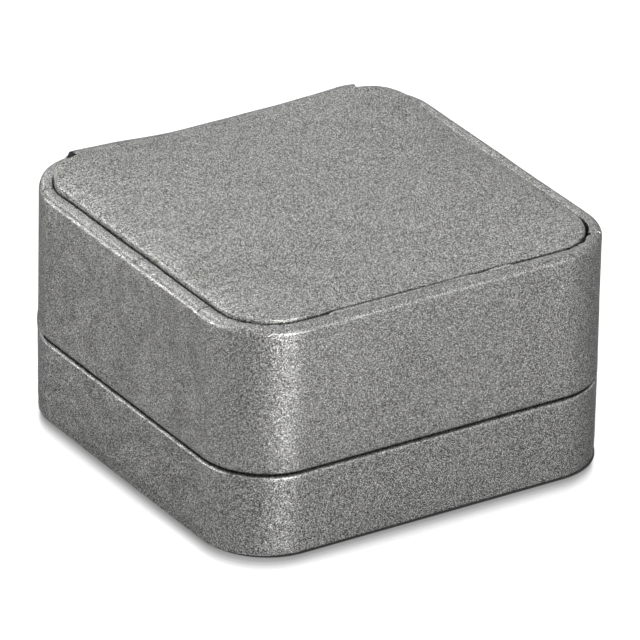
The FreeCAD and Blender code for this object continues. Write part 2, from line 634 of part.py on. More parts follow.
def make_hinge_cover(doc, halves):
    """The leatherette over the hinge, from the lid's recess to the edge of the bottom board.

    It lies on the wrapped halves: a band round the back, a tab over the rim, a foot under the
    base and a bulge over the knuckles. Round the corners it is slit along the parting line.
    """
    cover, skin = size("cover"), f"-{size('cover')}"
    rim, board = size("rim"), size("board")
    sides, front = f"({size('width')} / 2 + 1)", f"-({size('depth')} / 2 + 1)"
    band = body_named(doc, "cover_band")
    low, high = f"{size('foot_edge')} + {board}", f"{rim} - {size('roll_over')}"
    pad(band, "band", [outline(skin), outline("0")], low, high)
    pocket(band, "band_front", [box_loop(sides, front, size("cover_turn"))], low, high)
    tab = body_named(doc, "cover_tab")
    fold = f"({PANEL_CARD_BOTTOM} + 0.2)"
    pad(tab, "tab", [outline(skin), outline(f"{TURN_IN_INNER} + {cover}")], fold, f"{rim} + {cover}")
    round_off(tab, "tab_roll", f"{size('roll_over')} + {cover}", f"{rim} + {cover}", on_outline(doc, skin))
    foot = body_named(doc, "cover_foot")
    under, foot_top = f"({board} - {cover})", f"({board} + 2 * {size('foot_edge')})"
    pad(foot, "foot", [outline(skin), outline(f"{size('board_inset')} - 0.1")], under, foot_top)
    round_off(foot, "foot_roll", f"{size('foot_edge')} + {cover}", under, on_outline(doc, skin))
    half, shift = f"({size('cover_tab')} / 2)", size("cover_shift")
    room = box(
        doc, "cover_room", (f"{shift} - {half}", f"{shift} + {half}"),
        ("0", f"{BACK} + 2 * {cover}"), ("0", f"{rim} + 2 * {cover}"),
    )
    folds = overlap(doc, "cover_folds", join(doc, "cover_rings", tab, foot), room)
    sheet = cut(doc, "cover_sheet", join(doc, "cover_flat", band, folds), *halves)
    bulge_half = f"({size('cover_bulge')} / 2)"
    inside = f"({size('barrel')} + 0.1)"
    axis = (AXIS_Y, size("parting"))
    tube = rod(doc, "bulge_outer", f"{inside} + {cover}", f"2 * {bulge_half}", f"-{bulge_half}", *axis)
    hollow = rod(doc, "bulge_hollow", inside, f"2 * {bulge_half}", f"-{bulge_half}", *axis)
    wall = box(
        doc, "bulge_wall", (f"-{bulge_half} - 1", f"{bulge_half} + 1"),
        (f"{BACK} - 9", BACK), (f"{size('parting')} - 4", f"{size('parting')} + 4"),
    )
    bulge = cut(doc, "cover_swell", tube, wall)
    far = f"({size('width')} / 2 + 1)"
    slits = [
        box(doc, f"cover_slit_{side}", x, (size("cover_turn"), f"{BACK} + 1"), (BASE_TOP, LID_BOTTOM))
        for side, x in (("left", (f"-{far}", f"-{bulge_half}")), ("right", (bulge_half, far)))
    ]
    return cut(doc, "hinge_cover", join(doc, "cover_joined", sheet, bulge), hollow, *slits)


def export(doc, nodes):
    """Checks every object, then writes each sub-part to its own file."""
    for item in doc.Objects:
        if "Invalid" in item.State or "Error" in item.State:
            raise RuntimeError(f"{item.Label} failed: {item.State}")
    os.makedirs("parts", exist_ok=True)
    for item in nodes:
        shape = item.Shape
        if shape.isNull() or not shape.isValid() or not shape.Solids:
            raise RuntimeError(f"{item.Label} has no valid solid")
        shape.exportStep(os.path.join("parts", f"{item.Label}.step"))
        span = shape.BoundBox
        print(
            f"{item.Label}: {len(shape.Solids)} solids, {shape.Volume:.1f} mm3, "
            f"x {span.XMin:.2f}..{span.XMax:.2f} y {span.YMin:.2f}..{span.YMax:.2f} "
            f"z {span.ZMin:.2f}..{span.ZMax:.2f}"
        )


def main():
    doc = FreeCAD.newDocument("RingBox")
    make_sheet(doc)
    parting = size("parting")
    base_form, base_shell = make_base_shell(doc)
    lid_form, lid_shell = make_lid_shell(doc)
    base_wrap, lid_wrap = make_base_wrap(doc, base_form), make_lid_wrap(doc, lid_form)
    near, far = pad_loops("0")
    foam_top = f"({size('pad_top')} - {size('suede')})"
    rolls = [
        make_roll(doc, "foam_roll_front", near, foam_top, size("roll_edge")),
        make_roll(doc, "foam_roll_rear", far, foam_top, size("roll_edge")),
    ]
    window = f"({size('spring_reach')} + 1.2)"
    nodes = [
        make_bottom_board(doc),
        base_shell,
        base_wrap,
        make_liner(doc, "base_liner", BASE_FLOOR, f"{BASE_TOP} - 0.35", f"{parting} - {window}", parting),
        make_insert_card(doc),
        *rolls,
        make_ring_pad_cover(doc, rolls),
        lid_shell,
        lid_wrap,
        make_liner(doc, "lid_liner", f"{LID_BOTTOM} + 0.35", PLATE_BOTTOM, parting, f"{parting} + {window}"),
        *make_panel(doc),
        *make_ceiling(doc),
        make_leaf(doc, "hinge_leaf_base", True),
        make_leaf(doc, "hinge_leaf_lid", False),
        make_pin(doc),
        make_rivets(doc, "hinge_rivets_base", "-"),
        make_rivets(doc, "hinge_rivets_lid", "+"),
        make_spring(doc),
        make_hinge_cover(doc, [base_form, base_wrap, lid_form, lid_wrap]),
    ]
    doc.recompute()
    export(doc, nodes)


main()
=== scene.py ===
"""A hinged ring box in satin steel-grey leatherette, dressed on its CAD frame.

The frame is X along the front, +Y to the hinge at the back, +Z up. Shapes are worked out in
millimetres and made in metres.
"""

import functools
import math

import bpy
import numpy as np
from mathutils import Matrix, Vector


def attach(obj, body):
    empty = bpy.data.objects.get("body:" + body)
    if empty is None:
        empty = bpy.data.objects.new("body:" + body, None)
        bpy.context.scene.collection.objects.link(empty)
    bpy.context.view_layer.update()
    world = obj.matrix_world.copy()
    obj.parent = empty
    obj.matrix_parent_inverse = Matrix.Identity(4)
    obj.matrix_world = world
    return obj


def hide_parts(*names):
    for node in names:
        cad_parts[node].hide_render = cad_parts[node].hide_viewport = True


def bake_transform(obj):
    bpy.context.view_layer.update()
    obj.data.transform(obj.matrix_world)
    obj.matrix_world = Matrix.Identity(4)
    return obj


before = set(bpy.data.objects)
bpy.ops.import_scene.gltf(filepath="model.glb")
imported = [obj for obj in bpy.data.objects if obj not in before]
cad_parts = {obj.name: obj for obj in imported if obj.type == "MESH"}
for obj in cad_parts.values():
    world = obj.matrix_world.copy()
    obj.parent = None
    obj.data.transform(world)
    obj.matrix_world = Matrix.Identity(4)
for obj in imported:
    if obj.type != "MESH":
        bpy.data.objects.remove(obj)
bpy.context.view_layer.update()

MM = 0.001

# The box, in millimetres.
HALF_X, HALF_Y, CORNER = 32.0, 31.1, 10.3
PARTING, RIM = 12.8, 35.05
BASE_TOP, LID_BOTTOM = PARTING - 0.21, PARTING - 0.05
BOARD_TOP = 0.42  # the thin black board that the base stands on
LID_SHIFT = (0.20, 0.28)  # the lid sits a little back and to the right of the base
BASE_SHIFT = (-0.20, -0.28)
AXIS_OUT = 0.25  # how far the hinge axis lies behind the back face
AXIS_Y = HALF_Y + AXIS_OUT
COVER = 0.4  # thickness of the hinge cover
COVER_TURN = 22.4  # how far forward it goes round the back corners
COVER_HALF = 21.5  # half of its flat, bending part
TAB_ENDS = (-22.4, 24.9)  # where its tab over the rim ends
TURNED_IN = 4.5  # how far the leatherette is turned into the mouth
MOUTH_INSET = 2.1  # how far inside the walls it lies there
IN_RECESS = 32.5  # the lid's skin above this height is its walls' and rim's, not the recess floor's
QUARTER = math.pi / 2


# ---- Small tools -------------------------------------------------------------------------


def ripple(points, wavelength, seed, waves=14):
    """Smooth unevenness of about -1 to 1 with a given wavelength, the same every run."""
    rng = np.random.default_rng(seed)
    points = np.asarray(points, float)
    total = np.zeros(points.shape[:-1])
    for _ in range(waves):
        direction = rng.normal(size=points.shape[-1])
        direction *= rng.uniform(0.7, 1.4) / (np.linalg.norm(direction) * wavelength)
        total += np.sin(2 * math.pi * (points @ direction + rng.uniform()))
    return total / math.sqrt(waves)


def bell(x, middle, width):
    """1 at the middle, falling off on both sides."""
    return np.exp(-(((np.asarray(x, float) - middle) / width) ** 2))


def smooth(x, low, high):
    """From 0 at low to 1 at high, with no corner."""
    t = np.clip((np.asarray(x, float) - low) / (high - low), 0, 1)
    return t * t * (3 - 2 * t)


def arc(centre, radius, start, end, steps):
    """Points of a circle between two angles in degrees."""
    angles = np.radians(np.linspace(start, end, steps))
    return [(centre[0] + radius * math.cos(a), centre[1] + radius * math.sin(a)) for a in angles]


def path(*parts):
    """A fine polyline through lists of points. A number between two lists is the step of their join."""
    out = []
    for number, part in enumerate(parts):
        if isinstance(part, float):
            a, b = out[-1], parts[number + 1][0]
            part = np.linspace(a, b, max(2, int(math.dist(a, b) / part) + 1))
        out += [point for point in part if not out or math.dist(out[-1], point) > 1e-4]
    return np.array(out)


def outward(profile):
    """Unit normals of a profile of (inset, height) points that runs with the outside on its left."""
    along = np.gradient(profile, axis=0)
    along /= np.linalg.norm(along, axis=1)[:, None]
    return np.stack([-along[:, 1], along[:, 0]], axis=1)


CORNERS = ((1, -1), (1, 1), (-1, 1), (-1, -1))


def round_trip(half_x=HALF_X, half_y=HALF_Y, radius=CORNER):
    """Lengths of a rounded rectangle's nine stretches, anticlockwise from the middle of its front."""
    bend = math.pi * radius / 2
    x, y = half_x - radius, half_y - radius
    return [x, bend, 2 * y, bend, 2 * x, bend, 2 * y, bend, x]


def outline(s, half_x=HALF_X, half_y=HALF_Y, radius=CORNER):
    """Points and outward normals at arc lengths s round a rounded rectangle."""
    lengths = round_trip(half_x, half_y, radius)
    s = np.mod(np.asarray(s, float), sum(lengths))
    points, normals = np.zeros(s.shape + (2,)), np.zeros(s.shape + (2,))
    start = 0.0
    for k, length in enumerate(lengths):
        here = (s >= start - 1e-9) & (s <= start + length + 1e-9)
        along = s[here] - start
        turn = along / length if k % 2 else np.zeros_like(along)
        angle = np.radians(-90 + 90 * (k // 2) + 90 * turn)
        normal = np.stack([np.cos(angle), np.sin(angle)], -1)
        if k == 0:
            at = np.stack([along, np.full_like(along, -half_y)], -1)
        else:
            sx, sy = CORNERS[((k + 1) // 2 - 1) % 4]
            centre = np.array([sx * (half_x - radius), sy * (half_y - radius)])
            at = centre + radius * normal
            if k % 2 == 0:
                at = at + along[:, None] * np.stack([-normal[:, 1], normal[:, 0]], -1)
        points[here], normals[here] = at, normal
        start += length
    return points, normals


def round_points(half_x, half_y, radius, steps):
    """Points and outward normals at even steps round a rounded rectangle."""
    s = np.linspace(0, sum(round_trip(half_x, half_y, radius)), steps, endpoint=False)
    return outline(s, half_x, half_y, radius)


def at_level(flat, level):
    """Flat places lifted to a height: one number, or one for each place."""
    return np.concatenate([flat, np.broadcast_to(level, flat.shape[:-1])[..., None]], -1)


def grid_faces(grid, closed=False):
    """Quads of a grid stored row by row. Closed grids join the last column to the first."""
    rows, columns = grid.shape[:2]
    i, j = np.meshgrid(np.arange(rows - 1), np.arange(columns if closed else columns - 1), indexing="ij")
    k = (j + 1) % columns
    quads = np.stack([i * columns + j, i * columns + k, (i + 1) * columns + k, (i + 1) * columns + j], -1)
    return quads.reshape(-1, 4)


def new_object(name, data):
    thing = bpy.data.objects.new(name, data)
    bpy.context.collection.objects.link(thing)
    return thing


def mesh_object(name, points, faces):
    """A new mesh object, from arrays of points in millimetres and of faces."""
    mesh = bpy.data.meshes.new(name)
    mesh.from_pydata((points.reshape(-1, 3) * MM).tolist(), [], faces.tolist())
    return new_object(name, mesh)


def make(name, points, faces, material, body, replaces, flip=False):
    """A smooth-shaded piece from points in millimetres, on a body, or on none if it is to be blended."""
    piece = mesh_object(name, points, faces[:, ::-1] if flip else faces)
    piece.data.shade_smooth()
    piece.data.materials.append(material)
    if body:
        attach(piece, body)
    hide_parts(replaces)
    return piece


def thicken(piece, thickness, offset=1.0):
    """Gives a sheet its thickness in millimetres. An offset of 1 puts all of it outside."""
    modifier = piece.modifiers.new("thickness", "SOLIDIFY")
    modifier.thickness, modifier.offset = thickness * MM, offset
    return modifier


# ---- Materials ---------------------------------------------------------------------------


class Nodes:
    """A node tree, with short calls to add and join nodes."""

    def __init__(self, tree):
        self.tree = tree

    def add(self, kind, inputs, **settings):
        """A new node, each of its inputs fed with a number, a colour or another node's output."""
        node = self.tree.nodes.new(kind)
        for key, value in settings.items():
            setattr(node, key, value)
        self.feed(node, inputs)
        return node

    def feed(self, node, inputs):
        for socket, value in inputs.items():
            if isinstance(value, bpy.types.NodeSocket):
                self.tree.links.new(value, node.inputs[socket])
            else:
                node.inputs[socket].default_value = value

    def math(self, operation, first, second):
        return self.add("ShaderNodeMath", {0: first, 1: second}, operation=operation).outputs[0]

    def vector(self, operation, *values, output="Vector", **inputs):
        inputs.update(enumerate(values))
        return self.add("ShaderNodeVectorMath", inputs, operation=operation).outputs[output]

    def add_up(self, *values):
        return functools.reduce(lambda so_far, value: self.math("ADD", so_far, value), values)

    def total(self, *parts):
        """The sum of outputs, each with its weight."""
        return self.add_up(*(self.math("MULTIPLY", value, weight) for value, weight in parts))

    def fade(self, value, start, end, low, high):
        """Goes smoothly from low to high as the value goes from start to end."""
        limits = {"Value": value, "From Min": start, "From Max": end, "To Min": low, "To Max": high}
        return self.add("ShaderNodeMapRange", limits, interpolation_type="SMOOTHSTEP").outputs["Result"]


class Surface(Nodes):
    """A new material for a piece."""

    def __init__(self, name):
        self.material = bpy.data.materials.new(name)
        self.material.use_nodes = True
        super().__init__(self.material.node_tree)
        self.shader = self.tree.nodes["Principled BSDF"]
        self.place = self.add("ShaderNodeTexCoord", {}).outputs["Object"]

    def millimetres(self, stretch=(1, 1, 1)):
        """Object coordinates in millimetres, stretched along the axes."""
        scale = [v / MM for v in stretch]
        return self.add("ShaderNodeMapping", {"Vector": self.place, "Scale": scale}).outputs["Vector"]

    def noise(self, vector, per_mm, detail=2.0, roughness=0.5, distortion=0.0):
        inputs = {"Vector": vector, "Scale": per_mm, "Detail": detail, "Roughness": roughness}
        return self.add("ShaderNodeTexNoise", {**inputs, "Distortion": distortion}).outputs["Fac"]

    def ramp(self, factor, *stops):
        """Colours between stops of a position and a colour."""
        node = self.add("ShaderNodeValToRGB", {"Fac": factor})
        elements = node.color_ramp.elements
        while len(elements) < len(stops):
            elements.new(0.5)
        for element, (position, colour) in zip(elements, stops):
            element.position = position
            element.color = (*colour, 1)
        return node.outputs["Color"]

    def bump(self, height, distance, strength, **under):
        inputs = {"Height": height, "Distance": distance * MM, "Strength": strength, **under}
        return self.add("ShaderNodeBump", inputs).outputs["Normal"]

    def finish(self, colour, roughness, normal, **fixed):
        self.feed(self.shader, {"Base Color": colour, "Roughness": roughness, "Normal": normal})
        self.feed(self.shader, {socket.replace("_", " "): value for socket, value in fixed.items()})
        return self.material


FLAKES_PER_MM = 18.0
FLAKE_TILT = 0.34
# Place in the range of tones, and how far its colour is off the mean, at a contrast of 1.
FLAKE_TONES = ((0.0, -0.85), (0.62, -0.50), (0.80, 1.60), (0.92, 3.20))
LEATHER_LEVEL = 0.236  # the leatherette's mean colour
RIM_HIGHLIGHT = 0.40  # how much lighter the top of the rim is painted: a painted highlight along the rim
DARKEST_FLAKE = 0.03
GLANCING = (0.45, 0.45, 0.45, 1.0)  # keeps it from flaring up where it is seen edge-on


def leatherette(name, contrast, streaks=False, highlight_above=None, gloss=0.47, tint_and_painted_shading=(1.0, 1.0, 0.97)):
    """Pearly leatherette: a very fine grain of satin flakes that each catch the light their own way."""
    n = Surface(name)
    place = n.millimetres()
    apart = n.add("ShaderNodeSeparateXYZ", {"Vector": place}).outputs
    cells = n.add("ShaderNodeTexVoronoi", {"Vector": place, "Scale": FLAKES_PER_MM}, feature="F1")
    flake = cells.outputs["Color"]
    light = n.add("ShaderNodeSeparateColor", {"Color": flake}).outputs["Red"]
    grain = n.noise(place, 4.6, detail=1.5, roughness=0.6)
    mottle, drift = n.noise(place, 0.75), n.noise(place, 0.09)
    tone = n.total((light, 0.88), (grain, 0.12))
    wandering = [(mottle, 0.015), (drift, 0.03)]
    if streaks:  # drawn out across the top, and strongest near its left edge
        pulled = n.noise(n.millimetres((0.13, 1.0, 0.3)), 1.25, detail=3.0, roughness=0.6)
        wandering.append((pulled, n.fade(apart["X"], -8.0, -29.0, 0.06, 0.26)))
    for value, share in wandering:
        tone = n.math("ADD", tone, n.math("MULTIPLY", n.math("SUBTRACT", value, 0.5), share))
    stops = []
    for position, off in FLAKE_TONES:
        level = LEATHER_LEVEL * max(1 + contrast * off, DARKEST_FLAKE)
        # besides a slight warm hue, this scale carries painted light and shade: the top's copy is made
        # lighter and the base's darker
        stops.append((position, tuple(level * t for t in tint_and_painted_shading)))
    colour = n.ramp(tone, *stops)
    # painted highlight: above this height, along the top of the rim, the colour is made lighter
    if highlight_above is not None:
        rim_highlight = n.fade(apart["Z"], highlight_above, highlight_above + 0.3, 1.0, 1.0 + RIM_HIGHLIGHT)
        colour = n.vector("SCALE", colour, Scale=rim_highlight)
    tilt = n.vector("SCALE", n.vector("SUBTRACT", flake, (0.5, 0.5, 0.5)), Scale=FLAKE_TILT)
    faced = n.add("ShaderNodeNewGeometry", {}).outputs["Normal"]
    normal = n.vector("NORMALIZE", n.vector("ADD", tilt, faced))
    normal = n.bump(n.total((mottle, 0.08), (grain, 0.4)), 0.03, 0.5, Normal=normal)
    rough = n.math("ADD", n.math("MULTIPLY", grain, -0.12), gloss)
    return n.finish(colour, rough, normal, Metallic=1.0, Specular_Tint=GLANCING)


def plain(name, dark, light, per_mm, roughness, bump_mm, **fixed):
    """A matt material whose colour wanders between two tones."""
    n = Surface(name)
    fleck = n.noise(n.millimetres(), per_mm, detail=4.0, roughness=0.6)
    colour = n.ramp(fleck, (0.32, dark), (0.68, light))
    return n.finish(colour, roughness, n.bump(fleck, bump_mm, 0.6), **fixed)


def suede(name):
    """Short-napped black suede, brushed in patches."""
    n = Surface(name)
    nap = n.noise(n.millimetres((1.0, 0.45, 1.0)), 5.0, detail=4.0, roughness=0.7)
    brushed = n.noise(n.millimetres(), 0.16, detail=3.0, distortion=0.6)
    tone = n.total((nap, 0.6), (brushed, 0.4))
    colour = n.ramp(tone, (0.3, (0.010, 0.010, 0.011)), (0.7, (0.045, 0.045, 0.050)))
    normal = n.bump(nap, 0.06, 0.8)
    return n.finish(colour, 0.95, normal, Sheen_Weight=0.35, Sheen_Roughness=0.4, Specular_IOR_Level=0.2)


def satin(name):
    """Black woven satin: close threads across, a silky sheen."""
    n = Surface(name)
    wave = n.add(
        "ShaderNodeTexWave",
        {"Vector": n.millimetres(), "Scale": 1.1, "Distortion": 1.2, "Detail": 3.0},
        wave_type="BANDS", bands_direction="Y", wave_profile="SIN",
    )
    slub = n.noise(n.millimetres((0.25, 3.0, 1.0)), 1.3, detail=3.0)
    tone = n.total((wave.outputs["Fac"], 0.35), (slub, 0.65))
    colour = n.ramp(tone, (0.25, (0.014, 0.014, 0.016)), (0.75, (0.050, 0.050, 0.056)))
    return n.finish(colour, 0.45, n.bump(tone, 0.04, 0.6), Sheen_Weight=0.20, Specular_IOR_Level=0.5)


def steel(name):
    """Nickel-plated sheet steel with rolling marks."""
    n = Surface(name)
    marks = n.noise(n.millimetres((0.15, 4.0, 4.0)), 3.0, detail=4.0, roughness=0.6)
    stain = n.noise(n.millimetres(), 0.35, detail=3.0)
    tone = n.total((marks, 0.6), (stain, 0.4))
    colour = n.ramp(tone, (0.3, (0.42, 0.41, 0.39)), (0.7, (0.68, 0.67, 0.64)))
    rough = n.math("ADD", n.math("MULTIPLY", marks, 0.25), 0.18)
    return n.finish(colour, rough, n.bump(marks, 0.01, 0.5), Metallic=1.0)


def foam(name):
    """Open-cell foam."""
    n = Surface(name)
    inputs = {"Vector": n.millimetres(), "Scale": 2.2}
    depth = n.add("ShaderNodeTexVoronoi", inputs, feature="F1").outputs["Distance"]
    colour = n.ramp(depth, (0.1, (0.16, 0.16, 0.16)), (0.7, (0.04, 0.04, 0.04)))
    return n.finish(colour, 0.9, n.bump(depth, 0.15, 0.7), Specular_IOR_Level=0.2)


LEATHER = leatherette("steel_grey_leatherette", 1.10, highlight_above=RIM - 0.25)
# painted shade: the base's copy is made a little darker (0.95) than the lid's, besides its stronger grain
BASE_LEATHER = leatherette("steel_grey_leatherette_base", 1.35, tint_and_painted_shading=(0.95, 0.95, 0.925))
# painted light: the top's copy is made about 31% lighter than the walls' leatherette, for the light that
# falls on the top
PAD_LEATHER = leatherette(
    "steel_grey_leatherette_top", 1.60, streaks=True, gloss=0.62, tint_and_painted_shading=(1.31, 1.32, 1.205)
)
SUEDE = suede("black_suede")
SATIN = satin("black_satin")
STEEL = steel("nickel_plated_steel")
FOAM = foam("grey_foam")
FLOCK = plain(
    "black_flocked_card", (0.008, 0.008, 0.009), (0.035, 0.035, 0.038), 6.0, 0.95, 0.05,
    Sheen_Weight=0.3, Specular_IOR_Level=0.2,
)
BACKING = plain(
    "black_cloth_backing", (0.012,) * 3, (0.040,) * 3, 7.0, 0.9, 0.03, Specular_IOR_Level=0.2
)
BOARD = plain("black_board", (0.006,) * 3, (0.020,) * 3, 3.0, 0.8, 0.03, Specular_IOR_Level=0.3)
CARD = plain(
    "grey_board", (0.22, 0.19, 0.15), (0.42, 0.37, 0.30), 2.5, 0.9, 0.04, Specular_IOR_Level=0.2
)
PLASTIC = plain(
    "moulded_black_plastic", (0.020, 0.020, 0.021), (0.045, 0.045, 0.047), 4.0, 0.5, 0.02,
    Specular_IOR_Level=0.5,
)

NODE_MATERIALS = (
    (PLASTIC, ("base_shell", "lid_shell")),
    (FLOCK, ("base_liner", "lid_liner")),
    (CARD, ("insert_card", "panel_card", "ceiling_card")),
    (FOAM, ("foam_roll_front", "foam_roll_rear", "panel_foam", "ceiling_foam")),
    (STEEL, ("hinge_leaf_base", "hinge_leaf_lid", "hinge_pin", "hinge_rivets_base", "hinge_rivets_lid")),
)


def dress_nodes():
    """Gives each CAD node that stays its own material."""
    for material, names in NODE_MATERIALS:
        for name in names:
            materials = bpy.data.objects[name].data.materials
            materials.clear()
            materials.append(material)


# ---- The leatherette skins ---------------------------------------------------------------

STEPS_ROUND = 960


def sweep(profile, unevenness, shift, closer):
    """A grid of points: a profile of (inset, height) carried round the box and made uneven.

    closer gives the places round the box, and the reach, where the steps are finer.
    """
    total = sum(round_trip())
    s = [np.linspace(0, total, STEPS_ROUND, endpoint=False)]
    s += [np.linspace(at - reach, at + reach, 26) for at, reach in closer]
    s = np.unique(np.round(np.mod(np.concatenate(s), total), 3))
    points, normals = outline(s)
    proud, pull, sag = unevenness(s, profile)
    moved = profile[None] + outward(profile)[None] * proud[..., None]
    flat = points[:, None] - normals[:, None] * (moved[..., 0] - pull)[..., None] + np.array(shift)
    return at_level(flat, moved[..., 1] - sag)


def on_wall(s, height):
    """Places on the box's wall, for every arc length and height."""
    return at_level(np.repeat(outline(s)[0][:, None], len(height), 1), height)


def back_left_rise(x, y):
    """How much higher the rim and the cover's tab stand at the back left."""
    return 0.62 * smooth(-np.asarray(x, float), 5.5, 16.0) * smooth(y, 24.5, 29.5)


def near_rim(height):
    """How much of that rise a height takes part in."""
    return smooth(height, RIM - 3.0, RIM - 0.9)


def length_at(x, y, steps=4000):
    """Arc length of the outline's point nearest to a place."""
    points, _ = round_points(HALF_X, HALF_Y, CORNER, steps)
    return np.argmin(np.hypot(points[:, 0] - x, points[:, 1] - y)) * sum(round_trip()) / steps


def around(s, x, y, width, power=2):
    """A bell over the arc length round a place. A higher power makes its flanks steeper."""
    total = sum(round_trip())
    apart = np.abs(np.mod(s - length_at(x, y) + total / 2, total) - total / 2)
    return np.exp(-((apart / width) ** power))


def in_corners(s, spread=1.5):
    """1 in the rounded corners, falling to 0 on the straights."""
    starts = np.cumsum([0] + round_trip())
    total = np.zeros_like(s)
    for k in (1, 3, 5, 7):
        begun, ended = (smooth(s, starts[at] - spread, starts[at] + spread) for at in (k, k + 1))
        total += begun * (1 - ended)
    return total


RIM_INNER = 1.94  # where the rim turns down into the gap round the padded top
RIM_ROUND = 0.97  # how round its outer edge is
RIM_LEAN = 0.11  # how much higher its inner edge stands than its outer one, at the front and on the left


def lid_profile():
    """The lid's leatherette, from inside the mouth, up the face and over the rim into the recess."""
    low, mouth_round, lower_round, lip_round = LID_BOTTOM, 0.3, 0.22, 0.15
    return path(
        [(MOUTH_INSET, low + TURNED_IN)], 1.5,
        arc((MOUTH_INSET - mouth_round, low + mouth_round), mouth_round, 0, -90, 5), 0.5,
        arc((lower_round, low + lower_round), lower_round, -90, -180, 7), 0.55,
        arc((RIM_ROUND, RIM - RIM_ROUND), RIM_ROUND, 180, 90, 13), 0.12,
        arc((RIM_INNER - lip_round, RIM - lip_round), lip_round, 90, 0, 6), 0.35,
        [(RIM_INNER + 0.12, 32.1)], 0.5, [(3.6, 31.9)],
    )


BITES = (  # out of the rim's inner edge: place, half length, depth
    (-28.9, -25.8, 0.55, 0.16), (-26.6, -27.4, 0.50, 0.22), (-24.6, -28.6, 0.22, 0.26),
    (-23.2, -29.3, 0.65, 0.20), (23.0, -30.6, 1.10, 0.18), (26.6, -29.4, 0.90, 0.26),
    (29.0, -27.4, 0.40, 0.34),
)
SLITS = (  # across the rim: place, half width, depth
    (-30.3, -18.9, 0.09, 0.34), (-31.3, 24.4, 0.10, 0.30), (29.6, -26.4, 0.12, 0.40),
    (-31.9, -1.9, 0.16, 0.16),
)


def lid_unevenness(s, profile):
    """How far the lid's skin stands off its plain shape, is drawn outwards, and sags."""
    inset, height = profile.T
    points, _ = outline(s)
    x, y = points.T
    place = on_wall(s, height)
    over_recess = height > IN_RECESS
    outer = smooth(height, LID_BOTTOM + 0.6, LID_BOTTOM + 3) * (inset < 2.0)
    amount = (0.035 * ripple(place, 17, 3) + 0.010 * ripple(place, 5, 4)) * outer
    top = smooth(height, RIM - 0.6, RIM - 0.1)
    lip = smooth(height, RIM - 1.3, RIM - 0.2) * smooth(inset, 0.9, 1.9)
    inner = smooth(inset, RIM_INNER - 0.5, RIM_INNER)
    amount -= np.outer(0.20 * around(s, 0, -HALF_Y, 24) * (1 - in_corners(s, 3)), inner)
    pleats = np.maximum(0, ripple(points, 1.5, 8)) * in_corners(s)
    amount -= np.outer(0.07 * pleats, lip)
    pull = np.zeros_like(amount)
    for *at, width, depth in BITES:
        pull += np.outer(depth * around(s, *at, width, power=4), inner * over_recess)
    for *at, width, depth in SLITS:
        amount -= np.outer(depth * around(s, *at, width), top)
    at_right = smooth(x, 22.5, 29.5) * (1 - smooth(y, 20, 27)) * smooth(y, -26, -19)
    rolled = 0.36 * np.clip((inset - 0.45) / 1.5, 0, 1) ** 1.6 * over_recess
    rise = np.outer(back_left_rise(x, y), near_rim(height))
    leaning = (1 - smooth(x, 18, 26)) * (1 - smooth(y, 20, 27))
    lean = RIM_LEAN * np.clip(inset - 0.8, 0, 1) * over_recess
    return amount, pull, np.outer(at_right, rolled) - rise - np.outer(leaning, lean)


def base_profile():
    """The base's leatherette, from under the board's edge up the face and over into the mouth."""
    foot, foot_inset, upper_round, mouth_round = 0.24, 0.12, 0.34, 0.4
    return path(
        [(6.5, BOARD_TOP)], 1.0,
        arc((foot + foot_inset, BOARD_TOP + foot), foot, -90, -180, 8), 0.5,
        arc((upper_round, BASE_TOP - upper_round), upper_round, 180, 90, 9), 0.4,
        arc((MOUTH_INSET - mouth_round, BASE_TOP - mouth_round), mouth_round, 90, 0, 5), 1.5,
        [(MOUTH_INSET, BASE_TOP - TURNED_IN)],
    )


FOOT_SAG, LEFT_SAG = 0.14, 0.18  # how far it sags over the board's edge, and how much more on the left
NICK = (-HALF_X, 3.9, 0.35, 0.22)  # in the base's upper edge: place, half width, depth


def base_unevenness(s, profile):
    """How far the base's skin stands off its plain shape, is drawn outwards, and sags."""
    inset, height = profile.T
    place = on_wall(s, height)
    sag = FOOT_SAG + LEFT_SAG * around(s, -HALF_X, 4, 42)
    sag = np.outer(sag, (1 - smooth(height, 0.5, 1.6)) * (inset < 0.5))
    amount = 0.03 * ripple(place, 15, 13) + 0.008 * ripple(place, 5, 14)
    amount *= smooth(height, 1.0, 3.0) * (inset < 1.0)
    *at, width, depth = NICK
    top = smooth(height, BASE_TOP - 0.8, BASE_TOP - 0.2) * (inset < 1.0)
    amount -= np.outer(depth * around(s, *at, width), top)
    return amount, np.zeros_like(amount), sag


def make_skins():
    for body, leather, profile, unevenness, shift, marks in (
        ("lid", LEATHER, lid_profile(), lid_unevenness, LID_SHIFT, BITES + SLITS),
        ("base", BASE_LEATHER, base_profile(), base_unevenness, BASE_SHIFT, (NICK,)),
    ):
        closer = [(length_at(x, y), 3.2 * width) for x, y, width, _ in marks]
        grid = sweep(profile, unevenness, shift, closer)
        grid = np.concatenate([grid, grid[:1]])
        faces = grid_faces(grid)
        last = (len(grid) - 1) * len(profile)
        faces = np.where(faces >= last, faces - last, faces)  # the last row is the first one again
        name, wrap = f"{body}_leatherette", f"{body}_wrap"
        piece = make(name, grid[:-1], faces, leather, body, wrap, flip=True)
        thicken(piece, 0.3, offset=-1.0)


# ---- The padded top ----------------------------------------------------------------------

PANEL_INSET = 2.36
NEARLY_NONE = 0.002  # size of the innermost ring of a closed top


def rings(half_x, half_y, radius, edge_insets, fill, steps, middle=(0.0, 0.0)):
    """Flat places of a rounded rectangle: rings at edge insets, then ever smaller copies of the last."""
    points, normals = round_points(half_x, half_y, radius, steps)
    places = [points - normals * inset for inset in edge_insets]
    shrunk = [*(1 - np.linspace(0, 1, fill + 1)[1:-1]), NEARLY_NONE]
    return np.array(places + [places[-1] * size for size in shrunk]) + np.array(middle)


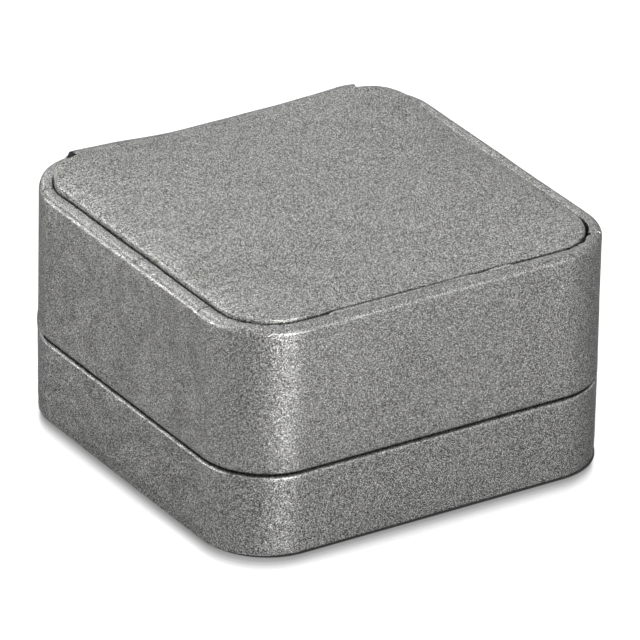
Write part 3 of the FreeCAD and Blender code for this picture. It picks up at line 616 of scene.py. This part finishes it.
def depth_inside(places, half_x, half_y, radius, middle=(0.0, 0.0)):
    """Distance of flat places inside a rounded rectangle."""
    x = np.abs(places[..., 0] - middle[0]) - (half_x - radius)
    y = np.abs(places[..., 1] - middle[1]) - (half_y - radius)
    corner = np.hypot(np.maximum(x, 0), np.maximum(y, 0))
    return radius - (corner + np.minimum(np.maximum(x, y), 0))


def shoulder(depth, width, height):
    """How far a padded edge has fallen at a depth inside its outline: a quarter of an ellipse."""
    t = np.clip(1 - depth / width, 0, 1)
    return height * (1 - np.sqrt(1 - t**2))


def skirt(points, normals, *levels):
    """Rows of points round an outline, each at a level and an inset."""
    return [at_level(points - normals * inset, level) for level, inset in levels]


CLOTH_SCALE = 10.0  # the simulation runs on a copy ten times the size, where Blender's cloth behaves
CLOTH_FRAMES = 20
CLOTH_GRID = 0.75  # size of its squares in millimetres
CLOTH_HELD = 0.35  # how deep inside the outline the cover is held


def puffed(places, height, depth, cap, pressure, slack, sign=1.0):
    """How far a pad's cover rises at flat places when it is blown up: a cloth simulation of its top.

    height and depth give its starting height and its depth inside the outline, where it is held. No point
    moves by more than the cap. A sign of -1 blows it up downwards.
    """
    low, high = places.reshape(-1, 2).min(0) - CLOTH_GRID, places.reshape(-1, 2).max(0) + CLOTH_GRID
    xs, ys = (np.arange(low[k], high[k] + CLOTH_GRID, CLOTH_GRID) for k in (0, 1))
    flat = np.stack(np.meshgrid(xs, ys, indexing="ij"), -1)
    inside = depth(flat)
    faces = grid_faces(flat)
    faces = faces[(inside.reshape(-1) > -CLOTH_GRID)[faces].all(1)]
    used = np.unique(faces)
    number = np.full(inside.size, -1)
    number[used] = np.arange(len(used))
    faces = number[faces][:, ::-1] if sign > 0 else number[faces]
    start = at_level(flat, height(flat)).reshape(-1, 3)[used]
    cloth = mesh_object("cloth", start * CLOTH_SCALE, faces)
    held = cloth.vertex_groups.new(name="held")
    held.add(np.where(inside.reshape(-1)[used] < CLOTH_HELD)[0].tolist(), 1.0, "REPLACE")
    modifier = cloth.modifiers.new("cloth", "CLOTH")
    settings = modifier.settings
    settings.quality = 6
    settings.vertex_group_mass = "held"
    settings.use_pressure = True
    settings.uniform_pressure_force = pressure
    settings.shrink_min = -slack
    settings.effector_weights.gravity = 0
    modifier.point_cache.frame_start, modifier.point_cache.frame_end = 1, CLOTH_FRAMES
    for frame_number in range(1, CLOTH_FRAMES + 1):
        bpy.context.scene.frame_set(frame_number)
    seen = cloth.evaluated_get(bpy.context.evaluated_depsgraph_get()).to_mesh()
    ends = np.zeros(start.size)
    seen.vertices.foreach_get("co", ends)
    rise = ends.reshape(-1, 3)[:, 2] / MM / CLOTH_SCALE - start[:, 2]
    mesh = cloth.data
    bpy.data.objects.remove(cloth)
    bpy.data.meshes.remove(mesh)
    bpy.context.scene.frame_set(1)
    moved = np.zeros(inside.size)
    moved[used] = sign * cap * np.tanh(np.maximum(sign * rise, 0) / cap)
    moved = moved.reshape(inside.shape)
    across, along = (places[..., 0] - xs[0]) / CLOTH_GRID, (places[..., 1] - ys[0]) / CLOTH_GRID
    i = np.clip(across.astype(int), 0, len(xs) - 2)
    j = np.clip(along.astype(int), 0, len(ys) - 2)
    u, v = across - i, along - j
    return (
        moved[i, j] * (1 - u) * (1 - v) + moved[i + 1, j] * u * (1 - v)
        + moved[i, j + 1] * (1 - u) * v + moved[i + 1, j + 1] * u * v
    )


EDGE_TABLE = (  # along the padded top's edge: x, y, height over the rim, radius of the edge
    (0, -28.7, 0.14, 0.18), (18, -28.7, 0.10, 0.18), (26.5, -26, 0.22, 0.70),
    (29.6, -17, 0.72, 0.95), (29.6, 0, 0.50, 0.95), (29.6, 15, 0.70, 0.90),
    (27.3, 26, 1.62, 0.80), (16, 28.7, 0.98, 0.60), (8, 28.7, 0.62, 0.50),
    (0, 28.7, 0.57, 0.50), (-8, 28.7, 0.76, 0.50), (-16, 28.7, 1.28, 0.45),
    (-22, 28.7, 1.60, 0.40), (-27.3, 26, 1.60, 0.40), (-29.6, 20, 1.20, 0.56),
    (-29.6, 12, 1.08, 0.58), (-29.6, 0, 1.04, 0.58), (-29.6, -17, 1.04, 0.56),
    (-26.5, -26, 0.75, 0.42), (-16, -28.7, 0.30, 0.26),
)


def edge_values(s, half_x, half_y, radius, steps=1200, span=41, margin=60):
    """Height and radius of the padded edge at arc lengths, evened out between the table's places."""
    total = sum(round_trip(half_x, half_y, radius))
    fine = np.linspace(0, total, 2000, endpoint=False)
    points, _ = outline(fine, half_x, half_y, radius)
    table = sorted((fine[np.argmin(np.hypot(*(points - row[:2]).T))], *row[2:]) for row in EDGE_TABLE)
    at, *columns = np.array(table).T
    knots = np.concatenate([at - total, at, at + total])
    even = np.linspace(0, total, steps, endpoint=False)
    kernel = np.hanning(span)
    out = []
    for values in columns:
        many = np.interp(even, knots, np.tile(values, 3))
        wrapped = np.concatenate([many[-margin:], many, many[:margin]])
        many = np.convolve(wrapped, kernel / kernel.sum(), "same")[margin:-margin]
        out.append(np.interp(s, even, many, period=total))
    return out


PAD_DOME = 1.10  # how high the padded top is crowned, before it swells
PAD_SWELL = 0.20
PAD_FALL, PAD_RIGHT_FALL = 2.4, 7.0  # how late the dome falls away on three sides and on the right
PAD_STEPS = 720
FOAM_SHRINK = 0.984  # how much smaller the foam is than its cover


def make_panel():
    """The padded top and its foam."""
    half_x, half_y, radius = HALF_X - PANEL_INSET, HALF_Y - PANEL_INSET, CORNER - PANEL_INSET
    s = np.linspace(0, sum(round_trip(half_x, half_y, radius)), PAD_STEPS, endpoint=False)
    over, bend = edge_values(s, half_x, half_y, radius)
    points, normals = outline(s, half_x, half_y, radius)
    wavy = 0.05 * ripple(points, 5, 24) * in_corners(s) + 0.03 * ripple(points, 9, 25)
    wavy += 0.36 * np.exp(-(np.hypot(points[:, 0] + 27.6, points[:, 1] - 26.2) / 4.5) ** 2)
    points = points + normals * wavy[:, None]
    rows = skirt(points, normals, (31.9, 1.2), (32.0, 0.12), (33.0, 0.06), (34.0, 0.0), (34.7, 0.0))
    for angle in np.linspace(0, QUARTER, 12):
        flat = points - normals * (bend * (1 - math.cos(angle)))[:, None]
        rows.append(at_level(flat, RIM + over - bend * (1 - math.sin(angle))))
    edge, edge_level = rows[-1][:, :2], RIM + over
    side_rows = len(rows)
    for t in np.concatenate([np.linspace(0, 0.12, 8)[1:], np.linspace(0.12, 1, 46)[1:]]):
        rows.append(at_level(edge * (1 - min(t, 0.998)), edge_level))
    grid = np.array(rows)

    def depth_at(places):
        return depth_inside(places, half_x - 0.4, half_y - 0.4, radius - 0.4)

    def height_at(places):
        """The edge's heights carried inwards, and the dome on top, before the cloth swells."""
        flat = places.reshape(-1, 2)
        level = np.zeros(len(flat))
        for part in np.array_split(np.arange(len(flat)), 40):
            apart = ((flat[part, None] - edge[None, ::4]) ** 2).sum(-1)
            weight = 1 / (apart + 0.02) ** 1.5
            level[part] = (weight * edge_level[None, ::4]).sum(1) / weight.sum(1)
        x, y = np.clip(flat[:, 0] / half_x, -1, 1), np.clip(flat[:, 1] / half_y, -1, 1)
        across = 1 - np.abs(x) ** np.where(x > 0, PAD_RIGHT_FALL, PAD_FALL)
        dome = PAD_DOME * across * (1 - np.abs(y) ** PAD_FALL)
        uneven = 0.04 * ripple(flat, 19, 21) + 0.012 * ripple(flat, 7, 22)
        return (level + dome + uneven * smooth(depth_at(flat), 0.3, 4)).reshape(places.shape[:-1])

    top = grid[side_rows:]
    flat = top[..., :2]
    top[..., 2] = height_at(flat) + puffed(flat, height_at, depth_at, PAD_SWELL, 4.0, 0.004)
    foam_grid = grid[4:].copy()
    grid[..., :2] += LID_SHIFT
    faces = grid_faces(grid, True)
    piece = make("padded_top", grid, faces, PAD_LEATHER, "lid", "panel_cover")
    foam_grid[..., :2] = foam_grid[..., :2] * FOAM_SHRINK + LID_SHIFT
    foam_grid[..., 2] -= COVER
    foam_grid[0, :, 2] = 33.3
    make("top_foam", foam_grid, grid_faces(foam_grid, True), FOAM, "lid", "panel_foam")


# ---- The hinge cover ---------------------------------------------------------------------

COVER_FACE = 0.05  # how far the cover's inner face lies behind the back face
BULGE_REACH = 2.3  # how far above and below the parting line its bulge over the hinge goes
COVER_FOOT, COVER_FOLD = 1.4, RIM - 1.05  # heights where it turns under the base and over the rim


def cover_profile():
    """The hinge cover's inner face as (distance behind the back face, height), from foot to recess."""
    barrel = arc((AXIS_OUT, PARTING), 1.05, -90 - 12, 90 + 12, 15)
    return path(
        [(-1.3, 0.45)], 0.5, arc((-0.9, COVER_FOOT), 0.95, -90, 0, 8), 0.8,
        [(COVER_FACE, PARTING - BULGE_REACH)],
        [point for point in barrel if point[0] > COVER_FACE],
        [(COVER_FACE, PARTING + BULGE_REACH)], 0.8,
        arc((-1.05, COVER_FOLD), 1.1, 0, 90, 10), 0.2,
        arc((-1.6, RIM - 0.5), 0.55, 90, 180, 7), 0.4, [(-2.15, 32.6)],
    )


def cover_sheet(name, s, rows, body):
    """A stretch of the hinge cover between arc lengths, as a sheet of the cover's thickness.

    On a body, it is a side piece, tucked just under the middle one. Outside the tab, it has no foot and no
    fold over the rim.
    """
    out, height = cover_profile()[rows].T
    points, normals = outline(s)
    side, y = np.abs(points[:, 0]), points[:, 1]
    bulge = np.where(np.abs(height - PARTING) < BULGE_REACH, out - COVER_FACE, 0)
    tapered = out - np.outer(smooth(side, 16.8, COVER_HALF), bulge)
    skived = 0.13 * (1 - smooth(y, COVER_TURN, COVER_TURN + 2.5)) + 0.34 * (1 - smooth(y, 28.0, 31.0))
    drawn = 0.16 * bell(height, PARTING + 0.9, 0.9) - 0.10 * (1 - smooth(height, 5.0, 12.0))
    loose = smooth(side, 24, 29) * smooth(y, COVER_TURN, COVER_TURN + 3.0)
    away = tapered - skived[:, None] + np.outer(loose, drawn * (out > 0))
    if body:
        away -= 0.02
    flat = points[:, None] + normals[:, None] * away[..., None]
    x = flat[..., 0]
    lift = 0.30 * bell(x, TAB_ENDS[0], 4.5) + 0.40 * bell(x, TAB_ENDS[1], 5.0) - 0.14 * bell(x, 0, 12)
    lift *= smooth(height, RIM - 0.6, RIM)
    flat = flat + normals[:, None] * (0.25 * lift[..., None])
    rise = np.outer(back_left_rise(points[:, 0], y), near_rim(height))
    level = height + lift + rise + 0.03 * ripple(flat, 9, 31)
    share = smooth(height, PARTING - 1.5, PARTING + 1.5)[:, None]
    shift = np.array(BASE_SHIFT) * (1 - share) + np.array(LID_SHIFT) * share
    faces = grid_faces(flat)
    if body:
        place, row = np.divmod(faces[:, 0], len(height))
        in_tab = (x[place, row] > TAB_ENDS[0]) & (x[place, row] < TAB_ENDS[1])
        on_face = (height < COVER_FOLD) & (height > COVER_FOOT) & (out > 0)
        faces = faces[in_tab | on_face[row]]
    grid = at_level(flat + shift, level)
    piece = make(name, grid, faces, LEATHER, body, "hinge_cover", flip=True)
    piece.data.materials.append(BACKING)
    thicken(piece, COVER - 0.05).material_offset_rim = 1
    return piece


def make_tab_end():
    """The lifted corner of the hinge cover at the back left: a near-black backing sheet under the end,
    painted shade.
    """
    out, height = cover_profile().T
    over = (height > RIM - 0.75) & (out > -1.7)
    out, height = out[over], height[over]
    start, length, rise, drop = TAB_ENDS[0] + 0.06, 1.5, 0.92, 0.30
    rows = []
    for t in np.linspace(0, 1, 6):
        fall = (COVER - 0.06) * (1 - t) - (drop + 0.06) * t
        flat = np.stack([np.full(len(out), start - length * t), HALF_Y + out - 0.15 * t], -1)
        rows.append(at_level(flat + LID_SHIFT, height + rise * (1 - 0.35 * t) + fall))
    grid = np.array(rows)
    faces = grid_faces(grid)
    # painted shade: this sheet slopes down under the lifted end, and its near-black fills the gap there
    piece = make("hinge_cover_corner", grid, faces, BACKING, "lid", "hinge_cover")
    thicken(piece, 0.12, offset=0.0)


def make_hinge_cover():
    """The cover's middle, which bends with the hinge, and a piece on each side of it for each body."""
    lengths = np.cumsum([0] + round_trip())
    back_start, back_end = lengths[4], lengths[5]
    margin = HALF_X - CORNER - COVER_HALF
    middle = np.linspace(back_start + margin, back_end - margin, 110)
    height = cover_profile()[:, 1]
    piece = cover_sheet("hinge_cover_middle", middle, slice(None), None)
    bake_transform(piece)
    s = np.linspace(lengths[3], lengths[6], 2000)
    on_strip = s[outline(s)[0][:, 1] >= COVER_TURN]
    overlap = 0.6
    for side, start, end in (
        ("right", on_strip.min(), middle[0] + overlap), ("left", middle[-1] - overlap, on_strip.max())
    ):
        for body, half in (("base", height <= PARTING + 0.001), ("lid", height >= PARTING - 0.001)):
            cover_sheet(f"hinge_cover_{body}_{side}", np.linspace(start, end, 44), half, body)


# ---- Inside ------------------------------------------------------------------------------

PAD_INSET = 3.7  # of the ring pad and the ceiling, from the outer face
PAD_BACK, PAD_FLOOR, PAD_TOP, SLOT = 26.6, 2.95, 11.6, 4.6
PAD_LIFT = 0.08  # keeps the suede clear of the foam
ROLL_CORNER, ROLL_EDGE, ROLL_CROWN, ROLL_SWELL = 5.2, 4.2, 0.6, 0.6


def turned(edge, steps, *more):
    """Insets of rings round an edge that turns over by a quarter circle, and more of them after it."""
    return [edge * (1 - math.cos(turn)) for turn in np.linspace(0, QUARTER, steps)] + list(more)


def pad(size, middle, insets, fill, steps, shape, sides, cap, slack, sign=1.0):
    """A crowned pad on a rounded rectangle, closed by its own skirt: a grid of points.

    shape gives the height of flat places, from them, their depth inside the outline and a crown that goes
    from 0 at the edges to 1 in the middle.
    """
    places = rings(*size, insets, fill, steps, middle)

    def depth_at(flat):
        return depth_inside(flat, *size, middle)

    def height_at(flat):
        u, v = np.moveaxis(np.clip((flat - middle) / size[:2], -1, 1), -1, 0)
        return shape(flat, depth_at(flat), (1 - u * u) * (1 - v * v))

    height = height_at(places) + puffed(places, height_at, depth_at, cap, 5.0, slack, sign)
    points, normals = round_points(*size, steps)
    return np.array(skirt(points + middle, normals, *sides) + list(at_level(places, height)))


def make_ring_pad():
    """Black suede over two foam rolls, tucked into the slot between them."""
    half_x, front = HALF_X - PAD_INSET, PAD_INSET - HALF_Y
    middle = (front + PAD_BACK) / 2
    half_y = (middle - SLOT / 2 - front) / 2
    size = half_x, half_y, ROLL_CORNER
    insets = turned(ROLL_EDGE, 12, 4.83, 5.67)
    sides = (PAD_FLOOR, 1.0), (PAD_FLOOR, 0.1), ((PAD_FLOOR + PAD_TOP - ROLL_EDGE) / 2, 0.0)

    def roll(y, seed):
        def shape(flat, depth, crown):
            fallen = ROLL_CROWN * (1 - crown) + shoulder(depth, ROLL_EDGE, ROLL_EDGE)
            uneven = 0.06 * ripple(flat, 11, seed) * smooth(depth, 0.3, 3)
            return PAD_TOP + PAD_LIFT - fallen + uneven - 0.6 * ROLL_SWELL * smooth(depth, 1.6, 5.5)

        return pad(size, (0, y), insets, 26, 360, shape, sides, ROLL_SWELL, 0.02)

    x = np.linspace(5 - half_x, half_x - 5, 60)
    y = np.linspace(middle - SLOT / 2 - 0.2, middle + SLOT / 2 + 0.2, 12)
    sag = 0.25 * ((y - middle) / (SLOT / 2)) ** 2
    flat = np.stack(np.meshgrid(x, y, indexing="ij"), -1)
    tuck = at_level(flat, PAD_FLOOR + 0.5 + sag + 0.03 * ripple(x[:, None], 6, 43)[:, None])
    grids = [roll(front + half_y, 41), roll(PAD_BACK - half_y, 42), tuck]
    faces = [grid_faces(grid, True) for grid in grids[:2]] + [grid_faces(tuck)[:, ::-1]]
    starts = np.cumsum([0] + [grid[..., 0].size for grid in grids])
    faces = np.concatenate([some + start for some, start in zip(faces, starts)])
    points = np.concatenate([grid.reshape(-1, 3) for grid in grids])
    piece = make("ring_pad", points, faces, SUEDE, "base", "ring_pad_cover")


def make_ceiling():
    """The lid's ceiling: satin over thin foam, its cloth drawn over the card's edge."""
    low, high, edge = 28.4, 30.38, 1.1
    size = HALF_X - PAD_INSET, HALF_Y - PAD_INSET, CORNER - PAD_INSET
    insets = turned(edge, 10, 1.5, 2.2, 3.0, 4.0)
    sides = (high, 1.0), (high, 0.0), (high - 0.5, 0.0)

    def shape(flat, depth, crown):
        uneven = 0.05 * ripple(flat, 13, 51) * smooth(depth, 0.5, 4)
        return low - 0.25 * crown + shoulder(depth, edge, edge) + uneven

    grid = pad(size, (0, 0), insets, 40, 480, shape, sides, 0.3, 0.012, sign=-1.0)
    faces = grid_faces(grid, True)
    piece = make("padded_ceiling", grid, faces, SATIN, "lid", "ceiling_cover", flip=True)


def make_spring():
    """The snap spring: a bowed strip with curled ends, bent by the hinge."""
    half_width, radius, reach, crown, curl, curl_y = 3.5, 7.3, 4.5, 4.5, 0.30, 28.62
    bow = math.degrees(math.asin(reach / radius))
    y, z = path(
        arc((curl_y, PARTING - reach), curl, 250, 90, 9),
        arc((AXIS_Y - crown + radius, PARTING), radius, 180 + bow - 2, 180 - bow + 2, 30),
        arc((curl_y, PARTING + reach), curl, 270, 110, 9),
    ).T
    x = np.linspace(-half_width, half_width, 15)
    waist = 1 - 0.12 * bell(z, PARTING, 2.2)
    grid = np.stack(np.broadcast_arrays(x[:, None] * waist[None], y[None], z[None]), -1)
    piece = make("spring_strip", grid, grid_faces(grid), STEEL, None, "snap_spring")
    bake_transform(piece)
    thicken(piece, 0.25, offset=0.0)


BOARD_SHIFT, BOARD_INSET = (0.02, -0.50), 0.30


def make_board():
    """The black board under the base, its edge showing as a thin dark line."""
    size = (half - BOARD_INSET for half in (HALF_X, HALF_Y, CORNER))
    points, normals = round_points(*size, 480)
    points, top = points + BOARD_SHIFT, BOARD_TOP - 0.01
    rows = skirt(
        points, normals, (top, 7.5), (top, 0.06), (top - 0.06, 0.0), (0.05, 0.0), (0.0, 0.06), (0.0, 3.0)
    )
    under = rows[-1]
    for share in (*np.linspace(1, 0, 14)[1:-1], NEARLY_NONE):
        rows.append(under * (share, share, 1))
    grid = np.array(rows)
    faces = grid_faces(grid, True)
    make("foot_board", grid, faces, BOARD, "base", "bottom_board", flip=True)


# ---- Stage, light and camera -------------------------------------------------------------

FIT = 64.0 / 60.0  # the camera was fitted to a box 60 mm wide
AZIMUTH, ELEVATION, ROLL = (math.radians(degrees) for degrees in (32.9146, 26.8409, 1.1905))
CAMERA_DISTANCE = 1233.203 * FIT
CAMERA_AIM = (0.36414 * FIT, -3.66005 * FIT)  # from the target to the view's centre, right and up
CAMERA_TARGET = (*LID_SHIFT, 20.0 * FIT)
PICTURE, FOCAL = 640.0, 9276.503  # width and focal length of the photo in pixels
SENSOR = 36.0


def heading(bearing, elevation):
    """A unit vector at angles from the way back, towards the right, and upwards."""
    level = math.cos(elevation)
    return Vector((math.sin(bearing) * level, math.cos(bearing) * level, math.sin(elevation)))


def make_camera():
    view = heading(AZIMUTH, -ELEVATION)
    right = view.cross(Vector((0, 0, 1))).normalized()
    up = right.cross(view)
    target = Vector(CAMERA_TARGET) + right * CAMERA_AIM[0] + up * CAMERA_AIM[1]
    turned_right = right * math.cos(ROLL) + up * math.sin(ROLL)
    turned_up = up * math.cos(ROLL) - right * math.sin(ROLL)
    data = bpy.data.cameras.new("camera")
    data.sensor_fit, data.sensor_width = "HORIZONTAL", SENSOR
    data.lens = FOCAL / PICTURE * SENSOR
    data.clip_start, data.clip_end = 0.05, 20.0
    camera = new_object("camera", data)
    axes = Matrix((turned_right, turned_up, -view)).transposed().to_4x4()
    axes.translation = (target - view * CAMERA_DISTANCE) * MM
    camera.matrix_world = axes
    bpy.context.scene.camera = camera


LIGHTS = {  # bearing from the front to the right, elevation; distance, width, height in metres; watts
    "left_low": (-124, 10, 0.70, 0.30, 0.24, 2.36),
    "back": (180, 35, 0.70, 0.32, 0.26, 0.38),
    "over_left": (-120, 62, 0.70, 0.34, 0.27, 0.42),
    "rim_back": (165, 45, 0.60, 0.14, 0.14, 0.26),
    "front_left": (0, 6, 0.50, 0.14, 0.10, 0.70),
    "front_high": (4, 8, 0.50, 0.10, 0.16, 0.44),
    "front": (7, 6, 0.50, 0.06, 0.10, 0.44),
    "front_broad": (11, 6, 0.50, 0.10, 0.10, 0.66),
}
WORLD_LIGHT = 0.5  # how strongly the white surroundings light matt surfaces


def make_lights():
    aim = Vector((0, 0, 0.02))
    for name, (bearing, elevation, distance, width, height, watts) in LIGHTS.items():
        toward = heading(math.radians(180 - bearing), math.radians(elevation))
        data = bpy.data.lights.new(name, "AREA")
        data.shape, data.size, data.size_y = "RECTANGLE", width, height
        data.energy = watts
        lamp = new_object(name, data)
        lamp.location = aim + toward * distance
        lamp.rotation_euler = (-toward).to_track_quat("-Z", "Y").to_euler()


FLOOR_COLOUR = 0.80
FLOOR_GLOW = 0.60  # what the camera sees besides the lit floor
FLOOR_HALF = 3000.0
SHADE_EDGES = (  # how far the foot's shade is thrown (mm), and how much of the floor's white it takes
    (0.47, 0.070), (1.41, 0.144), (2.36, 0.181),
    (3.30, 0.167), (4.24, 0.108), (5.30, 0.055),
)
SHADE_SOFT = 0.45  # half the width of each step's soft edge
SHADE_WAY = np.array((-0.543, -0.840))
SHADE_INSET = 0.3  # of the foot that throws it, from the outer face


def contact_shade(n):
    """A factor for the floor: 1 in the open, less in the soft shade that the foot throws forward."""
    place = n.add("ShaderNodeNewGeometry", {}).outputs["Position"]
    place = n.vector("MULTIPLY", place, (1 / MM, 1 / MM, 0.0))
    straight = (HALF_X - CORNER, HALF_Y - CORNER, 0.0)
    parts = []
    for step, share in SHADE_EDGES:
        centre = (*(BASE_SHIFT + SHADE_WAY * step), 0.0)
        apart = n.vector("ABSOLUTE", n.vector("SUBTRACT", place, centre))
        apart = n.vector("MAXIMUM", n.vector("SUBTRACT", apart, straight), (0.0, 0.0, 0.0))
        beyond = n.math("SUBTRACT", n.vector("LENGTH", apart, output="Value"), CORNER - SHADE_INSET)
        parts.append(n.fade(beyond, -SHADE_SOFT, SHADE_SOFT, 0.0, share))
    return n.add_up(*parts, 1.0 - sum(share for _, share in SHADE_EDGES))


def fresh_nodes(owner):
    """The emptied node tree of a material or world."""
    owner.use_nodes = True
    owner.node_tree.nodes.clear()
    return Nodes(owner.node_tree)


def make_floor():
    """A pale floor that the camera sees as white but for the shade on it."""
    corners = np.array(((-1, -1, 0), (1, -1, 0), (1, 1, 0), (-1, 1, 0))) * FLOOR_HALF
    floor = mesh_object("floor", corners, np.array([[0, 1, 2, 3]]))
    material = bpy.data.materials.new("white_floor")
    floor.data.materials.append(material)
    n = fresh_nodes(material)
    shade = contact_shade(n)
    grey = (FLOOR_COLOUR, FLOOR_COLOUR, FLOOR_COLOUR, 1)
    for_light = n.add("ShaderNodeBsdfDiffuse", {"Color": grey}).outputs[0]
    lit, glow = (
        n.add(kind, {"Color": n.vector("SCALE", (share, share, share), Scale=shade)}).outputs[0]
        for kind, share in (("ShaderNodeBsdfDiffuse", FLOOR_COLOUR), ("ShaderNodeEmission", FLOOR_GLOW))
    )
    for_camera = n.add("ShaderNodeAddShader", {0: lit, 1: glow}).outputs[0]
    to_camera = n.add("ShaderNodeLightPath", {}).outputs["Is Camera Ray"]
    surface = n.add("ShaderNodeMixShader", {0: to_camera, 1: for_light, 2: for_camera}).outputs[0]
    n.add("ShaderNodeOutputMaterial", {"Surface": surface})


def make_world():
    """White all round for the camera, glossy and transmitted rays, and dimmer for matt surfaces."""
    world = bpy.data.worlds.new("studio")
    bpy.context.scene.world = world
    n = fresh_nodes(world)
    rays = n.add("ShaderNodeLightPath", {}).outputs
    shown = rays["Is Camera Ray"]
    for kind in ("Is Glossy Ray", "Is Transmission Ray"):
        shown = n.math("MAXIMUM", shown, rays[kind])
    ambient, backdrop = (
        n.add("ShaderNodeBackground", {"Color": (1, 1, 1, 1), "Strength": strength}).outputs[0]
        for strength in (WORLD_LIGHT, 1.0)
    )
    surface = n.add("ShaderNodeMixShader", {0: shown, 1: ambient, 2: backdrop}).outputs[0]
    n.add("ShaderNodeOutputWorld", {"Surface": surface})


dress_nodes()
make_skins()
make_panel()
make_hinge_cover()
make_tab_end()
make_ring_pad()
make_ceiling()
make_spring()
make_board()
make_floor()
make_world()
make_lights()
make_camera()

bpy.context.scene.view_settings.view_transform = "Standard"
